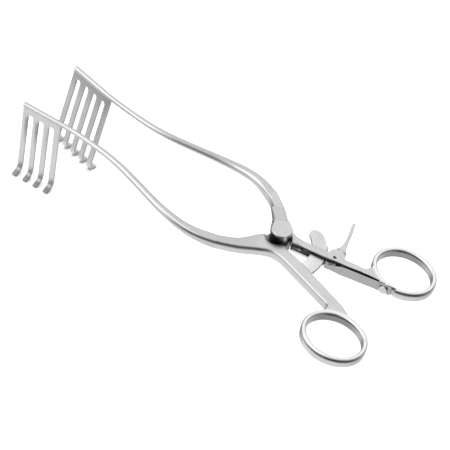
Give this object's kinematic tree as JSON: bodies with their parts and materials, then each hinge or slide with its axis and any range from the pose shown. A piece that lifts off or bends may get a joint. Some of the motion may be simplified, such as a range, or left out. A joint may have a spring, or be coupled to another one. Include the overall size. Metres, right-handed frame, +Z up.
{
  "type": "self retaining retractor",
  "caption": "Hinged surgical retractor with toothed rakes on bowed arms, finger rings, and a ratchet bar with a sprung release lever.",
  "frame": {"origin": "on the pivot axis, in the middle plane of the handles", "axes": "+X from the pivot to the finger rings, +Y to the far half (the one with the release lever), +Z up, away from the prongs' ends"},
  "size_m": [0.2022, 0.0822, 0.0517],
  "materials": {
    "near_arm": "satin",
    "near_handle": "satin",
    "near_rake": "satin",
    "ratchet_bar": "satin",
    "far_arm": "satin",
    "far_handle": "satin",
    "far_rake": "satin",
    "pivot_screw": "satin",
    "release_lever": "satin",
    "lever_pin": "satin",
    "leaf_spring": "satin",
    "spring_screw": "satin"
  },
  "bodies": {
    "near_half": {"near_arm": "near_arm", "near_handle": "near_handle", "near_rake": "near_rake", "ratchet_bar": "ratchet_bar"},
    "far_half": {"far_arm": "far_arm", "far_handle": "far_handle", "far_rake": "far_rake", "pivot_screw": "pivot_screw", "lever_pin": "lever_pin", "leaf_spring": "leaf_spring", "spring_screw": "spring_screw"},
    "lever": {"release_lever": "release_lever"}
  },
  "joints": [
    {"name": "pivot", "type": "hinge", "parent": "near_half", "child": "far_half", "pos_m": [0, 0, 0], "axis": [0, 0, 1], "range_deg": [-18, 9]},
    {"name": "lever_pivot", "type": "hinge", "parent": "far_half", "child": "lever", "pos_m": [0.0261, 0.01, 0], "axis": [0, 0, 1], "range_deg": [-8, 8], "stiffness_Nm_per_rad": 0.02}
  ]
}
